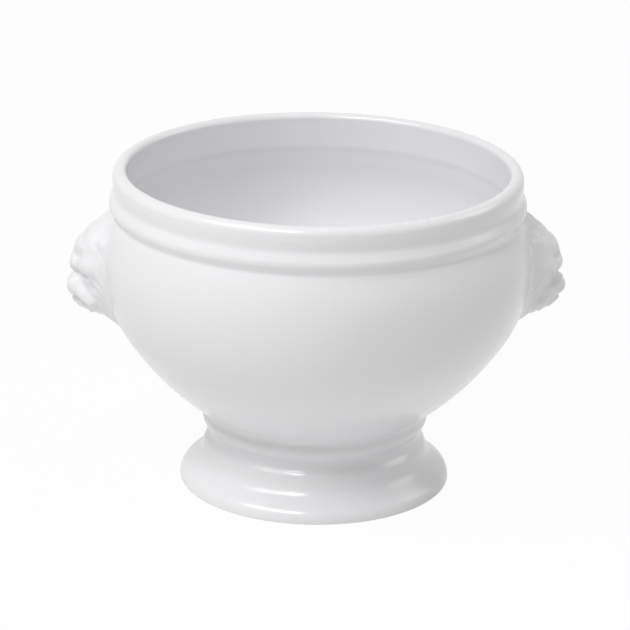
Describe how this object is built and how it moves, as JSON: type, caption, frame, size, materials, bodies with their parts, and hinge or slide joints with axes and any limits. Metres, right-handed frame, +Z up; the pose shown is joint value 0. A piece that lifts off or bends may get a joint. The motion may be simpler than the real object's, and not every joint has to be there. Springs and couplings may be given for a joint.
{
  "type": "pedestal soup bowl",
  "caption": "White porcelain soup bowl with a rounded lip, plain collar and full belly on a flared hollow pedestal foot, with lion-head bosses at its sides to lift it by.",
  "frame": {"origin": "centre of the foot, on the surface that the bowl stands on", "axes": "+Z up along the bowl's axis, +X out through the right lion head, +Y away from the front"},
  "size_m": [0.1532, 0.1316, 0.1002],
  "materials": {
    "porcelain": "glossy white glaze, bare only on the ring that the foot stands on"
  },
  "bodies": {
    "root": {"bowl": "porcelain", "pedestal_foot": "porcelain", "lion_head_left": "porcelain", "lion_head_right": "porcelain"}
  },
  "joints": []
}
